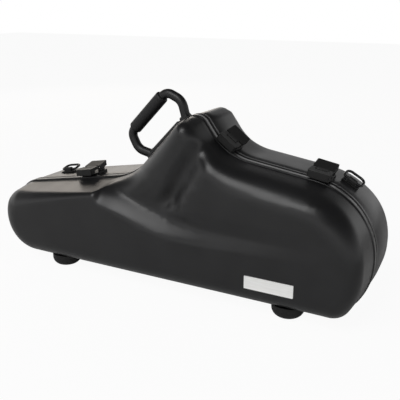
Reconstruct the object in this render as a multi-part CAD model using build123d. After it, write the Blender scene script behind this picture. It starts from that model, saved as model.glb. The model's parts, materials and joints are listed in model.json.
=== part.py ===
from build123d import *
import math
import os

# Alto saxophone case, a moulded two-shell case that stands on its long straight edge.
# Frame: +X along the case, -Y towards the lid (front), +Z up. The origin is under the
# middle of the case, on the surface that its feet stand on. Millimetres.

# Driving sizes
body_length = 652.5
corner_height = 278.6
lid_depth = 74.0
base_depth = 100.0
foot_drop = 15.0
wall = 3.0
draft_angle = 5.0
base_draft_angle = 1.0
rim_proud = 2.0
rim_width = 10.0
rim_round = 1.4
parting_gap = 1.2
cut_overrun = 4.0
seat_gap = 0.3
soft_gap = 0.5
running_gap = 0.05
screw_gap = 0.2

# Outline of the shells at the parting line: corners of a polygon that are rounded.
# Each row: X share of the length from the left end, Z share of the corner height, radius share
# of the length. The highest corner is the peak of the hump that holds the bell.
outline_shares = [
    (0.0, 0.0, 0.1103),
    (0.0, 0.4045, 0.0720),
    (0.3914, 0.5661, 0.1686),
    (0.5681, 1.0, 0.0337),
    (0.6444, 0.7534, 0.1379),
    (1.0, 0.6285, 0.1686),
    (1.0, 0.1687, 0.1686),
    (0.9585, 0.0, 0.0536),
]
slope_foot = 2
slope_peak = 3

# Front relief of the lid. The deep lower form ends upwards in a long sweep that dies out
# towards the right, and above it the front lies back on a plateau.
sweep_shares = [
    (-0.2, -0.3, 0.001),
    (-0.2, 1.05, 0.001),
    (0.5172, 0.3819, 0.4077),
    (1.2, 0.3719, 0.001),
    (1.2, -0.3, 0.001),
]
sweep_round = 13.0
# The sweep is cut from a slab this much deeper than the lid, so no two faces coincide
sweep_lead = 0.3
lid_edge_round = 16.0
plateau_fall = 25.0
plateau_left_share = 0.27
plateau_right_share = 0.80
block_left_share = 0.83
upper_left_share = 0.278
upper_foot_share = 0.2154
form_step = 0.05
base_edge_round = 18.0

# Bell flare that bulges the lid behind the handle side of the hump, and the valley beside it
flare_centre_share = 0.44
flare_start = 3.0
flare_mouth_radius = 40.0
flare_ridge_radius = 65.0
flare_ridge_at = 34.0
flare_throat_at = 66.0
flare_throat_radius = 46.0
flare_shoulder_share = 0.45
flare_bulge = 9.0
valley_radius = 28.0
valley_floor = 51.0
valley_offset = 58.0
valley_turn = 12.0
valley_length = 220.0

# Lining
tray_floor = 14.0
tray_round = 9.0
tray_top_gap = 1.5
accessory_depth = 40.0
lid_pad = 14.0
lid_hollow_depth = 32.0
lid_hollow_round = 9.0
sax_hollow_shares = [
    (0.045, 0.115, 0.030),
    (0.930, 0.080, 0.100),
    (0.950, 0.560, 0.100),
    (0.640, 0.700, 0.090),
    (0.570, 0.900, 0.022),
    (0.440, 0.580, 0.025),
    (0.690, 0.460, 0.022),
    (0.690, 0.340, 0.022),
    (0.045, 0.300, 0.030),
]
accessory_hollow_shares = [
    (0.110, 0.335, 0.009),
    (0.110, 0.400, 0.009),
    (0.330, 0.490, 0.009),
    (0.330, 0.425, 0.009),
]
strap_width = 25.0
strap_thickness = 1.8
strap_at_share = 0.36
strap_low_share = 0.055
strap_high_share = 0.420

# Seal
seal_edge = 1.5
seal_width = 2.0
seal_groove_depth = 1.6

# Feet and their screws
foot_radius = 25.0
foot_sole_radius = 12.0
foot_waist_height = 13.0
foot_from_parting = 38.0
foot_shares = [0.190, 0.826]
foot_screw_head = 4.0
foot_screw_head_height = 3.0
foot_screw_shank = 2.0
foot_counterbore_radius = 5.0
foot_counterbore_depth = 8.0

# Hinges
hinge_shares = [0.27, 0.73]
hinge_width = 46.0
hinge_leaf = 1.5
hinge_leaf_reach = 9.4
hinge_knuckle_radius = 3.2
hinge_pin_radius = 1.5
hinge_pin_head = 2.6
hinge_pin_head_length = 1.2
hinge_drop = 3.6
hinge_knuckles = 5
knuckle_gap = 0.3
rivet_head_radius = 1.8
rivet_head_height = 0.9
rivet_shank_radius = 1.0
rivet_length = 5.5
hinge_rivet_pitch = 17.0

# Handle on the slope of the hump
handle_centre_along = 76.5
handle_from_parting = 27.0
handle_plate_half_length = 62.0
handle_plate_half_width = 15.0
handle_plate_thickness = 1.2
handle_plate_corner = 5.0
handle_strip_half_length = 37.0
handle_strip_half_width = 12.0
handle_strip_height = 14.5
handle_strip_round = 4.0
handle_axis_height = 9.0
handle_foot_half = 46.0
handle_waist_half = 61.0
handle_grip_half = 50.5
handle_waist_height = 34.0
handle_grip_height = 62.5
handle_leg_radius = 7.6
handle_grip_radius = 10.8
handle_sleeve_half = 40.0
handle_sleeve_round = 3.0
handle_waist_bend = 22.0
handle_grip_bend = 15.0
handle_eye_half = 7.5
handle_eye_radius = 7.9
handle_pin_radius = 2.5
handle_pin_inset = 9.0
handle_screw_half = 58.0
handle_screw_head = 3.2
handle_screw_head_height = 2.0
handle_screw_shank = 1.8

# Latches
latch_shares = [0.233, 0.639, 0.863]
latch_half_width = 16.5
latch_nose = 12.0
latch_tail = 38.0
latch_sink = 16.0
bracket_plate = 1.5
bracket_front = 1.2
bracket_rear = 35.0
ear_inner = 5.6
ear_thickness = 2.6
ear_radius = 3.5
pivot_from_parting = 4.6
pivot_height = 5.0
claw_arm_length = 8.0
claw_arm_lean = 35.0
lever_pin_radius = 1.5
claw_pin_radius = 1.25
lever_thickness = 3.0
lever_tongue_half = 8.8
lever_tongue_front = 2.6
lever_block_front = 8.9
lever_block_rear = 13.3
lever_block_bottom = 7.2
lever_plate_front = 14.6
lever_front_top = 12.2
lever_rear_top = 17.0
lever_skirt_thickness = 2.0
lever_skirt_drop = 5.5
lever_skirt_front = 17.5
lever_boss_half = 5.2
claw_arm_inner = 9.4
claw_arm_half_height = 2.4
claw_bar_rear = 0.4
claw_bar_thickness = 3.5
claw_lip_thickness = 2.4
claw_lip_height = 1.6
claw_pin_half = 15.5
strike_front = 8.6
strike_ridge_rear = 5.8
strike_ridge_height = 5.0
strike_half_width = 11.5
strike_foot_rear = 1.6
strike_foot_height = 1.6
cheek_inner = 10.0
cheek_thickness = 2.6
cheek_front = 17.0
cheek_rear = 33.0
cheek_height = 6.5
latch_edge_round = 0.8
latch_rivet_across = 7.0
latch_rivet_along = 29.0
strike_rivet_across = 7.5
strike_rivet_along = 3.7

# Carrying rings
ring_shares = [0.108, 0.918]
ring_from_parting = 48.0
ring_wire = 2.0
ring_half_width = 15.0
ring_reach = 19.0
ring_bend = 8.0
ring_lean = 78.0
ring_axis_height = 5.3
ring_plate_half_length = 14.0
ring_plate_half_width = 7.5
ring_plate_thickness = 2.0
ring_hoop_half_length = 7.0
ring_hoop_thickness = 1.8
ring_rivet_along = 10.5

# Name plate, left bare
plate_share = 0.796
plate_centre_height = 57.0
plate_length = 75.0
plate_width = 20.0
plate_proud = 1.2
plate_border = 1.6
plate_recess = 0.4
plate_corner = 1.0

# Derived places
left_x = -body_length / 2
parting_y = (lid_depth + plate_proud - base_depth) / 2
pivot_place = (pivot_from_parting, pivot_height)
claw_pin_place = (
    pivot_from_parting + claw_arm_length * math.cos(math.radians(claw_arm_lean)),
    pivot_height + claw_arm_length * math.sin(math.radians(claw_arm_lean)),
)
hinge_axis_z = foot_drop - rim_proud - hinge_drop
LID = -1
BASE = 1
AROUND = 360
outline_samples = 3000
os.makedirs("parts", exist_ok=True)


def place(share_x, share_z):
    """Point of the outline frame: X along the case, Z above the floor."""
    return (left_x + share_x * body_length, foot_drop + share_z * corner_height)


def offset_corners(shares, inset):
    """Corners and radii of a rounded polygon, moved inwards by inset."""
    corners = [Vector(*place(x, z)) for x, z, r in shares]
    radii = [r * body_length for x, z, r in shares]
    count = len(corners)
    area = sum(
        corners[i - 1].X * corners[i].Y - corners[i].X * corners[i - 1].Y for i in range(count)
    )
    turn = 1 if area > 0 else -1
    moved = []
    for i in range(count):
        before = (corners[i] - corners[i - 1]).normalized()
        after = (corners[(i + 1) % count] - corners[i]).normalized()
        normal_before = Vector(-before.Y, before.X) * turn
        normal_after = Vector(-after.Y, after.X) * turn
        shift = (normal_before + normal_after) / (1 + normal_before.dot(normal_after))
        convex = (before.X * after.Y - before.Y * after.X) * turn > 0
        radius = radii[i] - inset if convex else radii[i] + inset
        moved.append((corners[i] + shift * inset, max(radius, form_step)))
    return moved


def outline_face(shares, inset=0.0):
    """Face of a rounded polygon on the parting plane."""
    moved = offset_corners(shares, inset)
    points = [(point.X, point.Y) for point, radius in moved]
    radii = [radius for point, radius in moved]
    return Plane.XZ * make_face(FilletPolyline(*points, radius=radii, close=True).edges())


def raise_form(face, side, depth, taper=0.0):
    """Solid that stands on the parting plane towards the lid or the base."""
    return extrude(face, amount=depth, dir=(0, side, 0), taper=taper).solid()


def edges_at_depth(solid, depth):
    """Edges that lie wholly at one distance from the parting plane."""
    near = form_step / 10
    found = []
    for edge in solid.edges():
        box = edge.bounding_box()
        if abs(abs(box.min.Y) - depth) < near and abs(abs(box.max.Y) - depth) < near:
            found.append(edge)
    return found


def block(x_from, x_to, y_from, y_to, z_from, z_to):
    """Box between two corners."""
    size = (x_to - x_from, y_to - y_from, z_to - z_from)
    middle = ((x_from + x_to) / 2, (y_from + y_to) / 2, (z_from + z_to) / 2)
    return Pos(*middle) * Box(*size)


def rod(radius, x_from, x_to, y=0.0, z=0.0):
    """Cylinder along X."""
    return Pos((x_from + x_to) / 2, y, z) * Rot(0, 90, 0) * Cylinder(radius, x_to - x_from)


def post(radius, z_from, z_to, x=0.0, y=0.0):
    """Cylinder along Z."""
    return Pos(x, y, (z_from + z_to) / 2) * Cylinder(radius, z_to - z_from)


def joined(pieces):
    """One shape of several separate or touching solids."""
    whole = pieces[0]
    for piece in pieces[1:]:
        whole = whole + piece
    return whole


# Lid form


def plateau_cutter(depth):
    """Everything in front of the plateau: flat at both ends, two equal arcs between."""
    x_left = left_x + plateau_left_share * body_length
    x_right = left_x + plateau_right_share * body_length
    half = (x_right - x_left) / 2
    radius = (half**2 + (plateau_fall / 2) ** 2) / plateau_fall
    sag = radius - math.sqrt(radius**2 - (half / 2) ** 2)
    middle = (x_left + half, plateau_fall / 2 - depth)
    right = (x_right, -depth)
    left = (x_left, plateau_fall - depth)
    far = (left_x - body_length, plateau_fall - depth)
    front = -depth - corner_height
    edges = [
        ThreePointArc(right, (x_right - half / 2, sag - depth), middle),
        ThreePointArc(middle, (x_left + half / 2, plateau_fall - sag - depth), left),
        Polyline(left, far, (far[0], front), (x_right, front), right),
    ]
    return extrude(make_face(edges), amount=body_length, dir=(0, 0, 1)).solid()


def lower_lid_form(inset):
    """Deep lower form and right end, bounded above by the rounded sweep."""
    depth = lid_depth - inset
    whole = raise_form(outline_face(outline_shares, inset), LID, depth, draft_angle)
    whole = whole.fillet(lid_edge_round - inset, edges_at_depth(whole, depth))
    reach = depth + sweep_lead
    slab = raise_form(outline_face(sweep_shares, inset), LID, reach, draft_angle)
    upper_edges = [
        edge for edge in edges_at_depth(slab, reach)
        if edge.center().Z > foot_drop and abs(edge.center().X) < body_length / 2
    ]
    slab = slab.fillet(sweep_round - inset, upper_edges)
    right = left_x + block_left_share * body_length
    right_block = block(
        right, right + body_length, -2 * lid_depth, lid_depth, -corner_height, 2 * corner_height
    )
    return (whole & slab) + (whole & right_block)


def upper_lid_form(inset):
    """Hump and plateau, with their edge rounded against the drafted wall."""
    depth = lid_depth - inset - form_step
    upper = raise_form(outline_face(outline_shares, inset + form_step), LID, depth, draft_angle)
    upper = upper - plateau_cutter(depth)
    fronts = [
        face for face in upper.faces()
        if face.center().Y < (plateau_fall - lid_depth) / 2
        and abs(face.normal_at(face.center()).Y) > math.cos(math.radians(4 * draft_angle))
    ]
    rim_edges = []
    for face in fronts:
        for edge in face.edges():
            owners = [other for other in fronts if any(edge.is_same(e) for e in other.edges())]
            if len(owners) == 1:
                rim_edges.append(edge)
    upper = upper.solid().fillet(lid_edge_round - inset, rim_edges)
    x_left, z_low = place(upper_left_share, upper_foot_share)
    x_right = left_x + (block_left_share + form_step / 2) * body_length
    return upper & block(x_left, x_right, -2 * lid_depth, lid_depth, z_low, 2 * corner_height)


def slope_frame(along=0.0):
    """Plane on the handle slope: X up the slope, Y to the base side, Z outwards."""
    foot = Vector(*place(*outline_shares[slope_foot][:2]))
    peak = Vector(*place(*outline_shares[slope_peak][:2]))
    up = (peak - foot).normalized()
    origin = foot + up * along
    return Plane(origin=(origin.X, 0, origin.Y), x_dir=(up.X, 0, up.Y), z_dir=(-up.Y, 0, up.X))


def slope_length():
    """Length of the slope between its two outline corners."""
    foot = Vector(*place(*outline_shares[slope_foot][:2]))
    peak = Vector(*place(*outline_shares[slope_peak][:2]))
    return (peak - foot).length


def flare_form(inset):
    """Turned form of the bell flare, its axis square to the slope in the parting plane."""
    start = (flare_mouth_radius - inset, -flare_start - inset)
    ridge = (flare_ridge_radius - inset, -flare_ridge_at)
    throat = (flare_throat_radius - inset, -flare_throat_at)
    shoulder = (
        start[0] + (ridge[0] - start[0]) * (1 - flare_shoulder_share) + flare_bulge / 2,
        start[1] + (ridge[1] - start[1]) * flare_shoulder_share,
    )
    fall = (
        (ridge[0] + throat[0]) / 2 + flare_bulge / 2,
        (ridge[1] + throat[1]) / 2,
    )
    edges = [
        Line((0, start[1]), start),
        ThreePointArc(start, shoulder, ridge),
        ThreePointArc(ridge, fall, throat),
        Polyline(throat, (0, throat[1]), (0, start[1])),
    ]
    profile = Plane.XZ * make_face(edges)
    turned = revolve(profile, axis=Axis.Z, revolution_arc=AROUND)
    return slope_frame(flare_centre_share * slope_length()) * turned


def valley_cutter(inset):
    """Round groove beside the bell flare."""
    groove = Rot(0, 90, 0) * Cylinder(valley_radius + inset, valley_length)
    reach = valley_floor + valley_radius
    turned = Pos(0, -reach, -valley_offset) * Rot(0, -valley_turn, 0) * groove
    return slope_frame(flare_centre_share * slope_length()) * turned


def lid_form(inset=0.0):
    """Outer form of the lid, or its inner form at one wall of inset."""
    upper = upper_lid_form(inset)
    envelope = raise_form(outline_face(outline_shares, inset), LID, lid_depth - inset, draft_angle)
    upper = upper + (flare_form(inset) & envelope)
    upper = upper - valley_cutter(inset)
    return (lower_lid_form(inset) + upper).solid()


def base_form(inset=0.0):
    """Outer form of the base, or its inner form at one wall of inset."""
    depth = base_depth - inset
    form = raise_form(outline_face(outline_shares, inset), BASE, depth, base_draft_angle)
    return form.fillet(base_edge_round - inset, edges_at_depth(form, depth))


def rim_band(side):
    """Flat band round the parting line, a little proud of the shell."""
    band = raise_form(outline_face(outline_shares, -rim_proud), side, rim_width)
    return band.fillet(rim_round, edges_at_depth(band, rim_width))


def parting_slab(half_gap):
    """Thin slab on the parting plane that both shells stay clear of."""
    return block(-body_length, body_length, -half_gap, half_gap, -corner_height, 2 * corner_height)


def ring_round_outline(inset, width, y_from, y_to):
    """Endless strip of one width that follows the outline."""
    outer = extrude(outline_face(outline_shares, inset), amount=y_to - y_from, dir=(0, 1, 0))
    inner = extrude(outline_face(outline_shares, inset + width), amount=y_to - y_from, dir=(0, 1, 0))
    return Pos(0, y_from, 0) * (outer - inner)


def rim_frame(share):
    """Plane on the upper rim edge: X along it, Y to the base side, Z outwards."""
    wire = outline_face(outline_shares, -rim_proud).face().outer_wire()
    wanted = left_x + share * body_length
    spots = [wire.position_at(i / outline_samples) for i in range(outline_samples)]
    best = None
    for i, spot in enumerate(spots):
        ahead = spots[(i + 1) % outline_samples]
        if (spot.X - wanted) * (ahead.X - wanted) <= 0 and (best is None or spot.Z > best[0].Z):
            best = (spot, ahead)
    low, high = sorted(best, key=lambda spot: spot.X)
    along = (high - low).normalized()
    return Plane(origin=(low.X, 0, low.Z), x_dir=(along.X, 0, along.Z), z_dir=(-along.Z, 0, along.X))


def rivet(radius, head_height, head_radius, length):
    """Domed rivet or pan-head screw: its head stands on Z = 0, its shank goes down."""
    head = Cylinder(head_radius, head_height, align=(Align.CENTER, Align.CENTER, Align.MIN))
    head = fillet(head.edges().group_by(Axis.Z)[-1], head_height / 2)
    shank = Cylinder(radius, length, align=(Align.CENTER, Align.CENTER, Align.MAX))
    return head + shank


# Feet


def foot_at(share, side):
    """Domed rubber foot, cut to the shell that it stands under."""
    profile = make_face([
        Polyline((0, 0), (foot_sole_radius, 0)),
        ThreePointArc(
            (foot_sole_radius, 0),
            (
                foot_sole_radius + (foot_radius - foot_sole_radius) * math.sin(math.radians(AROUND / 8)),
                foot_waist_height * (1 - math.cos(math.radians(AROUND / 8))),
            ),
            (foot_radius, foot_waist_height),
        ),
        Polyline(
            (foot_radius, foot_waist_height),
            (foot_radius, foot_drop + foot_waist_height),
            (0, foot_drop + foot_waist_height),
            (0, 0),
        ),
    ])
    foot = revolve(Plane.XZ * profile, axis=Axis.Z, revolution_arc=AROUND)
    foot = foot - post(foot_counterbore_radius, 0, foot_counterbore_depth)
    foot = foot - post(foot_screw_shank + screw_gap, 0, 2 * foot_drop)
    return Pos(left_x + share * body_length, side * foot_from_parting, 0) * foot


def foot_screw_at(share, side, grow=0.0):
    """Pan-head screw up through the foot into the shell."""
    angle = base_draft_angle if side == BASE else draft_angle
    inner_wall = foot_drop + foot_from_parting * math.tan(math.radians(angle)) + wall
    head = post(foot_screw_head, foot_counterbore_depth - foot_screw_head_height, foot_counterbore_depth)
    shank = post(foot_screw_shank + grow, foot_counterbore_depth, inner_wall)
    return Pos(left_x + share * body_length, side * foot_from_parting, 0) * (head + shank)


# Hinges


def hinge_leaf_at(share, side):
    """Leaf under the rim with its share of the knuckles round the pin."""
    reach_from = hinge_knuckle_radius + knuckle_gap
    plate_top = hinge_drop
    near, far = sorted((side * reach_from, side * hinge_leaf_reach))
    half = hinge_width / 2
    leaf = block(-half, half, near, far, plate_top - hinge_leaf, plate_top)
    knuckle = hinge_width / hinge_knuckles
    first = 0 if side == BASE else 1
    for i in range(first, hinge_knuckles, 2):
        x_from = -half + i * knuckle + knuckle_gap / 2
        x_to = x_from + knuckle - knuckle_gap
        low, high = sorted((0, side * (reach_from + running_gap)))
        bridge = block(x_from, x_to, low, high, plate_top - hinge_leaf, hinge_knuckle_radius)
        leaf = leaf + rod(hinge_knuckle_radius, x_from, x_to) + bridge
    leaf = leaf - rod(hinge_pin_radius + running_gap, -hinge_width, hinge_width)
    return Pos(left_x + share * body_length, 0, hinge_axis_z) * leaf


def hinge_pin_at(share):
    """Plain pin with a head at each end."""
    half = hinge_width / 2 + knuckle_gap
    pin = rod(hinge_pin_radius, -half, half)
    pin = pin + rod(hinge_pin_head, half, half + hinge_pin_head_length)
    pin = pin + rod(hinge_pin_head, -half - hinge_pin_head_length, -half)
    return Pos(left_x + share * body_length, 0, hinge_axis_z) * pin


def hinge_rivets(side, grow=0.0):
    """Rivets up through one leaf of each hinge into the rim."""
    reach = (hinge_knuckle_radius + knuckle_gap + hinge_leaf_reach) / 2
    z = hinge_axis_z + hinge_drop - hinge_leaf
    pieces = []
    for share in hinge_shares:
        for step in (-1, 0, 1):
            x = left_x + share * body_length + step * hinge_rivet_pitch
            one = rivet(rivet_shank_radius + grow, rivet_head_height, rivet_head_radius, rivet_length)
            pieces.append(Pos(x, side * reach, z) * Rot(180, 0, 0) * one)
    return pieces


# Handle


def handle_frame():
    """Slope plane at the middle of the handle."""
    return slope_frame(handle_centre_along)


def handle_surface():
    """Height of the base shell under the handle, measured from the outline."""
    return -handle_from_parting * math.tan(math.radians(base_draft_angle))


def handle_base_blank():
    """Base plate with the raised strip between the two eyes."""
    low = handle_surface() - latch_sink
    top = handle_surface() + handle_plate_thickness
    half = handle_plate_half_length
    y_mid = handle_from_parting
    width = handle_plate_half_width
    plate = block(-half, half, y_mid - width, y_mid + width, low, top)
    plate = fillet(plate.edges().filter_by(Axis.Z), handle_plate_corner)
    strip = block(
        -handle_strip_half_length, handle_strip_half_length,
        y_mid - handle_strip_half_width, y_mid + handle_strip_half_width,
        low, handle_strip_height,
    )
    strip = fillet(strip.edges().group_by(Axis.Z)[-1], handle_strip_round)
    return plate + strip


def handle_pin(end, grow=0.0):
    """Pin from the strip's end out through the eye of the handle."""
    x_from = handle_strip_half_length - handle_pin_inset
    x_to = handle_foot_half + handle_eye_half + seat_gap
    low, high = sorted((end * x_from, end * x_to))
    return rod(handle_pin_radius + grow, low, high, handle_from_parting, handle_axis_height)


def handle_loop():
    """Stiff loop: eye, leg, waist, grip, and back."""
    points = [
        (-handle_foot_half, handle_axis_height),
        (-handle_waist_half, handle_waist_height),
        (-handle_grip_half, handle_grip_height),
        (handle_grip_half, handle_grip_height),
        (handle_waist_half, handle_waist_height),
        (handle_foot_half, handle_axis_height),
    ]
    bends = [handle_waist_bend, handle_grip_bend, handle_grip_bend, handle_waist_bend]
    path = FilletPolyline(*points, radius=bends)
    path = Plane.XZ * path
    start = Plane(origin=path @ 0, z_dir=path % 0)
    loop = sweep(start * Circle(handle_leg_radius), path=path)
    loop = Pos(0, handle_from_parting, 0) * loop
    for end in (-1, 1):
        middle = end * handle_foot_half
        eye = rod(
            handle_eye_radius, middle - handle_eye_half, middle + handle_eye_half,
            handle_from_parting, handle_axis_height,
        )
        loop = loop + eye
    for end in (-1, 1):
        inner = handle_foot_half - handle_eye_half
        low, high = sorted((end * (inner - cut_overrun), end * inner))
        width = 2 * handle_leg_radius
        loop = loop - block(
            low, high, handle_from_parting - width, handle_from_parting + width,
            handle_axis_height - width, handle_axis_height + handle_leg_radius,
        )
        loop = loop - handle_pin(end, running_gap)
    return loop


def handle_sleeve():
    """Padded grip round the middle of the loop."""
    half = handle_sleeve_half
    tube = rod(handle_grip_radius, -half, half, handle_from_parting, handle_grip_height)
    tube = fillet(tube.edges(), handle_sleeve_round)
    bore = rod(
        handle_leg_radius + running_gap, -half - cut_overrun, half + cut_overrun,
        handle_from_parting, handle_grip_height,
    )
    return tube - bore


def handle_screw_set(grow=0.0):
    """Screws at both ends of the base plate."""
    top = handle_surface() + handle_plate_thickness
    pieces = []
    for end in (-1, 1):
        one = rivet(
            handle_screw_shank + grow, handle_screw_head_height, handle_screw_head,
            handle_plate_thickness + wall / 2,
        )
        pieces.append(Pos(end * handle_screw_half, handle_from_parting, top) * one)
    return pieces


# Latches, each drawn at the rim and then placed by its frame


def yz_prism(points, x_from, x_to):
    """Prism along X from points given as (Y, Z)."""
    face = Plane.YZ * make_face(Polyline(*points, close=True))
    return Pos(x_from, 0, 0) * extrude(face, amount=x_to - x_from, dir=(1, 0, 0))


def mirrored_x(piece):
    """A piece and its mirror image across the latch."""
    return piece + mirror(piece, about=Plane.YZ)


def latch_bracket_blank():
    """Bracket on the base shell: plate, two pivot ears, two cheeks."""
    half = latch_half_width
    pivot_y, pivot_z = pivot_place
    plate = block(-half, half, bracket_front, bracket_rear, -latch_sink, bracket_plate)
    plate = fillet(plate.edges().filter_by(Axis.Z), bracket_plate)
    outer = ear_inner + ear_thickness
    ear = rod(ear_radius, ear_inner, outer, pivot_y, pivot_z)
    ear = ear + block(ear_inner, outer, pivot_y - ear_radius, pivot_y + ear_radius, 0, pivot_z)
    cheek = block(
        cheek_inner, cheek_inner + cheek_thickness, cheek_front, cheek_rear, 0, cheek_height
    )
    bracket = plate + mirrored_x(ear) + mirrored_x(cheek)
    return bracket - rod(lever_pin_radius + running_gap, -half, half, pivot_y, pivot_z)


def lever_top(y):
    """Height of the lever's sloping top at one place along it."""
    run = (y - lever_plate_front) / (latch_tail - lever_plate_front)
    return lever_front_top + max(run, 0) * (lever_rear_top - lever_front_top)


def latch_lever():
    """Lever: tongue with the pivot boss, pin block, and the wide raised finger plate."""
    half = latch_half_width
    pivot_y, pivot_z = pivot_place
    pin_y, pin_z = claw_pin_place
    tongue_bottom = pivot_z + ear_radius + seat_gap
    tongue = block(
        -lever_tongue_half, lever_tongue_half, lever_tongue_front, lever_plate_front + cut_overrun,
        tongue_bottom, lever_front_top,
    )
    boss_radius = ear_radius - seat_gap
    boss = rod(boss_radius, -lever_boss_half, lever_boss_half, pivot_y, pivot_z)
    boss = boss + block(
        -lever_boss_half, lever_boss_half, lever_tongue_front, pivot_y + boss_radius,
        pivot_z, tongue_bottom,
    )
    pin_block = block(
        -lever_tongue_half, lever_tongue_half, lever_block_front, lever_block_rear,
        lever_block_bottom, tongue_bottom,
    )
    front, rear = lever_plate_front, latch_tail
    plate = yz_prism(
        [
            (front, lever_top(front) - lever_thickness),
            (front, lever_top(front)),
            (rear, lever_top(rear)),
            (rear, lever_top(rear) - lever_thickness),
        ],
        -half, half,
    )
    plate = fillet(plate.edges().filter_by(Axis.Z), lever_skirt_thickness)
    skirt_front = lever_skirt_front
    skirt = yz_prism(
        [
            (skirt_front, lever_top(skirt_front) - lever_thickness),
            (rear - lever_skirt_thickness, lever_top(rear) - lever_thickness),
            (rear - lever_skirt_thickness, lever_top(rear) - lever_thickness - lever_skirt_drop),
            (skirt_front, lever_top(skirt_front) - lever_thickness - lever_skirt_drop),
        ],
        half - lever_skirt_thickness, half,
    )
    lever = tongue + boss + pin_block + plate + mirrored_x(skirt)
    lever = lever - rod(lever_pin_radius + running_gap, -half, half, pivot_y, pivot_z)
    return lever - rod(claw_pin_radius + running_gap, -half, half, pin_y, pin_z)


def latch_claw():
    """Claw: hollow nose over the strike, and two arms back to the pin."""
    half = latch_half_width
    pin_y, pin_z = claw_pin_place
    top = pin_z + claw_arm_half_height
    nose = block(-half, half, -latch_nose, claw_bar_rear, claw_lip_height, top)
    nose = fillet(nose.edges().filter_by(Axis.Z), lever_skirt_thickness)
    hollow = block(
        lever_skirt_thickness - half, half - lever_skirt_thickness,
        claw_lip_thickness - latch_nose, claw_bar_rear + cut_overrun,
        claw_lip_height - cut_overrun, top - claw_bar_thickness,
    )
    arm = block(
        claw_arm_inner, half, claw_bar_rear - cut_overrun, pin_y,
        pin_z - claw_arm_half_height, top,
    )
    arm = arm + rod(claw_arm_half_height, claw_arm_inner, half, pin_y, pin_z)
    claw = (nose - hollow) + mirrored_x(arm)
    return claw - rod(claw_pin_radius + running_gap, -2 * half, 2 * half, pin_y, pin_z)


def latch_strike_blank():
    """Strike on the lid rim: foot plate and the ridge that the claw holds."""
    half = strike_half_width
    foot = block(-half, half, -strike_front, -strike_foot_rear, -latch_sink, strike_foot_height)
    ridge = block(-half, half, -strike_front, -strike_ridge_rear, 0, strike_ridge_height)
    ridge = fillet(ridge.edges().filter_by(Axis.X).group_by(Axis.Z)[-1], latch_edge_round)
    return foot + ridge


def lever_pin():
    """Pivot pin of the lever, held in the bracket's ears."""
    half = ear_inner + ear_thickness
    return rod(lever_pin_radius, -half, half, *pivot_place)


def claw_pin():
    """Pin of the claw, held in the lever."""
    return rod(claw_pin_radius, -claw_pin_half, claw_pin_half, *claw_pin_place)


def latch_rivets_base(grow=0.0):
    """Rivets of one bracket."""
    latch_surface = rim_proud + latch_rivet_along * math.tan(math.radians(base_draft_angle))
    pieces = []
    for across in (-latch_rivet_across, latch_rivet_across):
        one = rivet(
            rivet_shank_radius + grow, rivet_head_height, rivet_head_radius,
            bracket_plate + latch_surface + wall - seat_gap,
        )
        pieces.append(Pos(across, latch_rivet_along, bracket_plate) * one)
    return pieces


def latch_rivets_lid(grow=0.0):
    """Rivets of one strike."""
    pieces = []
    for across in (-strike_rivet_across, strike_rivet_across):
        one = rivet(
            rivet_shank_radius + grow, rivet_head_height, rivet_head_radius,
            strike_foot_height + rim_proud + wall / 2,
        )
        pieces.append(Pos(across, -strike_rivet_along, strike_foot_height) * one)
    return pieces


# Carrying rings


def ring_surface():
    """Height of the base shell under a carrying ring, measured from the rim."""
    return -rim_proud - ring_from_parting * math.tan(math.radians(base_draft_angle))


def ring_bracket_blank():
    """Bracket of a carrying ring: plate and the hoop over the ring's bar."""
    low = ring_surface() - latch_sink
    top = ring_surface() + ring_plate_thickness
    axis_z = ring_surface() + ring_axis_height
    y_mid = ring_from_parting
    half = ring_plate_half_length
    width = ring_plate_half_width
    plate = block(-half, half, y_mid - width, y_mid + width, low, top)
    plate = fillet(plate.edges().filter_by(Axis.Z), ring_plate_thickness)
    hoop_radius = ring_wire + ring_hoop_thickness
    hoop = rod(hoop_radius, -ring_hoop_half_length, ring_hoop_half_length, y_mid, axis_z)
    hoop = hoop + block(
        -ring_hoop_half_length, ring_hoop_half_length, y_mid - hoop_radius, y_mid + hoop_radius,
        low, axis_z,
    )
    bore = rod(ring_wire + running_gap, -half, half, y_mid, axis_z)
    return (plate + hoop) - bore


def carrying_ring():
    """Ring bent from round wire, leaning back on the base shell."""
    half = ring_half_width
    points = [(-half, 0), (half, 0), (half, ring_reach), (-half, ring_reach)]
    corner = ring_wire + ring_hoop_thickness
    bends = [corner, corner, ring_bend, ring_bend]
    wire = FilletPolyline(*points, radius=bends, close=True)
    path = Plane.XZ * wire
    start = Plane(origin=path @ 0, z_dir=path % 0)
    ring = sweep(start * Circle(ring_wire), path=path)
    leaned = Rot(-ring_lean, 0, 0) * ring
    return Pos(0, ring_from_parting, ring_surface() + ring_axis_height) * leaned


def ring_rivets_one(grow=0.0):
    """Rivets of one ring bracket."""
    top = ring_surface() + ring_plate_thickness
    pieces = []
    for end in (-1, 1):
        one = rivet(
            rivet_shank_radius + grow, rivet_head_height, rivet_head_radius,
            ring_plate_thickness + wall - seat_gap,
        )
        pieces.append(Pos(end * ring_rivet_along, ring_from_parting, top) * one)
    return pieces


# Name plate


def name_plate():
    """Thin plate with a raised border, left bare."""
    x, z = left_x + plate_share * body_length, plate_centre_height
    y_back = -lid_depth
    y_front = -lid_depth - plate_proud
    plate = block(
        x - plate_length / 2, x + plate_length / 2, y_front, y_back,
        z - plate_width / 2, z + plate_width / 2,
    )
    plate = fillet(plate.edges().filter_by(Axis.Y), plate_corner)
    field = block(
        x - plate_length / 2 + plate_border, x + plate_length / 2 - plate_border,
        y_front - cut_overrun, y_front + plate_recess,
        z - plate_width / 2 + plate_border, z + plate_width / 2 - plate_border,
    )
    return plate - field


# Assembly


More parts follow.
